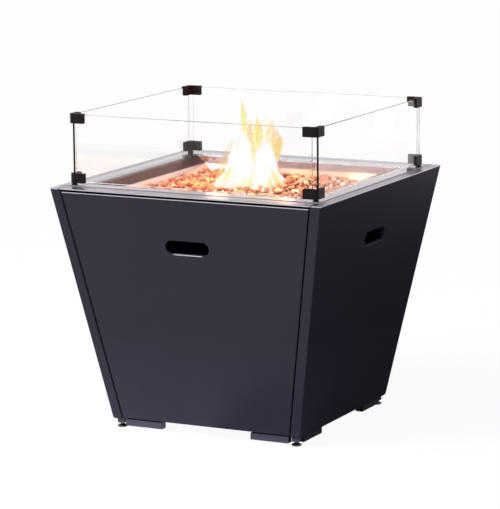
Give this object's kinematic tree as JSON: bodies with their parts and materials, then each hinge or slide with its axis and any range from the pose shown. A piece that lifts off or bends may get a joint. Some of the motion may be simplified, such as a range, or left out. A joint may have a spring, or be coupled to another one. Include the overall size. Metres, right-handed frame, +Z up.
{
  "type": "gas fire pit",
  "caption": "Floor-standing gas fire pit: a tapered cabinet with a tilting door, a pan of lava rock with a ring burner, and a lift-off glass wind guard.",
  "frame": {"origin": "on the floor, under the middle of the cabinet", "axes": "+Z up, -Y towards the front with the door, +X to the right seen from the front"},
  "size_m": [0.7, 0.7, 0.7595],
  "materials": {
    "rim_steel": "satin stainless steel rim, faint brushing",
    "pan_steel": "stainless steel, heat tinted towards the fire",
    "panel_coat": "dark blue-grey satin powder coat",
    "frame_paint": "black satin paint on folded steel",
    "strip_steel": "mid grey powder coat",
    "foot_zinc": "bright zinc plate",
    "clip_black": "black powder coat, slightly worn edges",
    "guard_glass": "clear toughened glass with green edges",
    "pad_rubber": "black heat-resistant rubber",
    "lava_stone": "rough porous red-brown lava stone",
    "brass": "machined brass",
    "ceramic": "white glazed ceramic with a steel tip",
    "knob_plastic": "black moulded plastic",
    "button_plastic": "red moulded plastic"
  },
  "bodies": {
    "cabinet": {"base_plate": "frame_paint", "bottle_ring": "frame_paint", "burner_ring": "pan_steel", "burner_tray": "pan_steel", "control_bracket": "frame_paint", "corner_post_front_left": "frame_paint", "corner_post_front_right": "frame_paint", "corner_post_rear_left": "frame_paint", "corner_post_rear_right": "frame_paint", "door_hinge_eyes": "frame_paint", "foot_sockets": "strip_steel", "foot_weld_nuts": "foot_zinc", "frame_screws": "foot_zinc", "gas_jet": "brass", "gas_pipe": "pan_steel", "gas_valve": "brass", "heat_shield": "pan_steel", "igniter_body": "knob_plastic", "kick_strip_front": "strip_steel", "kick_strip_left": "strip_steel", "kick_strip_rear": "strip_steel", "kick_strip_right": "strip_steel", "lava_rocks": "lava_stone", "left_panel": "panel_coat", "magnet_catches": "pan_steel", "mixing_tube": "pan_steel", "rear_panel": "panel_coat", "right_panel": "panel_coat", "rock_grate": "pan_steel", "spark_electrode": "ceramic", "thermocouple": "ceramic", "top_frame": "rim_steel"},
    "door": {"door_panel": "panel_coat", "door_hinge_lugs": "frame_paint", "strike_plates": "frame_paint"},
    "wind_guard": {"clip_bottom_front_left": "clip_black", "clip_bottom_front_right": "clip_black", "clip_bottom_rear_left": "clip_black", "clip_bottom_rear_right": "clip_black", "clip_pads": "pad_rubber", "clip_screws": "foot_zinc", "clip_top_front_left": "clip_black", "clip_top_front_right": "clip_black", "clip_top_rear_left": "clip_black", "clip_top_rear_right": "clip_black", "glass_front": "guard_glass", "glass_left": "guard_glass", "glass_rear": "guard_glass", "glass_right": "guard_glass"},
    "push_collar": {"push_collar": "brass"},
    "control_knob": {"control_knob": "knob_plastic", "valve_stem": "foot_zinc"},
    "igniter_button": {"igniter_button": "button_plastic"},
    "foot_front_left": {"levelling_foot_front_left": "foot_zinc"},
    "foot_front_right": {"levelling_foot_front_right": "foot_zinc"},
    "foot_rear_right": {"levelling_foot_rear_right": "foot_zinc"},
    "foot_rear_left": {"levelling_foot_rear_left": "foot_zinc"}
  },
  "joints": [
    {"name": "door_tilt", "type": "hinge", "parent": "cabinet", "child": "door", "pos_m": [0, -0.24277, 0.031], "axis": [1, 0, 0], "range_deg": [0, 78]},
    {"name": "guard_lift", "type": "slide", "parent": "cabinet", "child": "wind_guard", "axis": [0, 0, 1], "range_m": [0, 0.2]},
    {"name": "knob_push", "type": "slide", "parent": "cabinet", "child": "push_collar", "axis": [0, 1, 0], "range_m": [0, 0.004], "stiffness_N_per_m": 700, "springref_m": -0.003},
    {"name": "knob_turn", "type": "hinge", "parent": "push_collar", "child": "control_knob", "pos_m": [0, -0.29, 0.53], "axis": [0, -1, 0], "range_deg": [0, 210]},
    {"name": "igniter_press", "type": "slide", "parent": "cabinet", "child": "igniter_button", "axis": [0, 1, 0], "range_m": [0, 0.006], "stiffness_N_per_m": 600, "springref_m": -0.003},
    {"name": "foot_height_front_left", "type": "slide", "parent": "cabinet", "child": "foot_front_left", "axis": [0, 0, 1], "range_m": [-0.012, 0.003]},
    {"name": "foot_height_front_right", "type": "slide", "parent": "cabinet", "child": "foot_front_right", "axis": [0, 0, 1], "range_m": [-0.012, 0.003]},
    {"name": "foot_height_rear_right", "type": "slide", "parent": "cabinet", "child": "foot_rear_right", "axis": [0, 0, 1], "range_m": [-0.012, 0.003]},
    {"name": "foot_height_rear_left", "type": "slide", "parent": "cabinet", "child": "foot_rear_left", "axis": [0, 0, 1], "range_m": [-0.012, 0.003]}
  ]
}
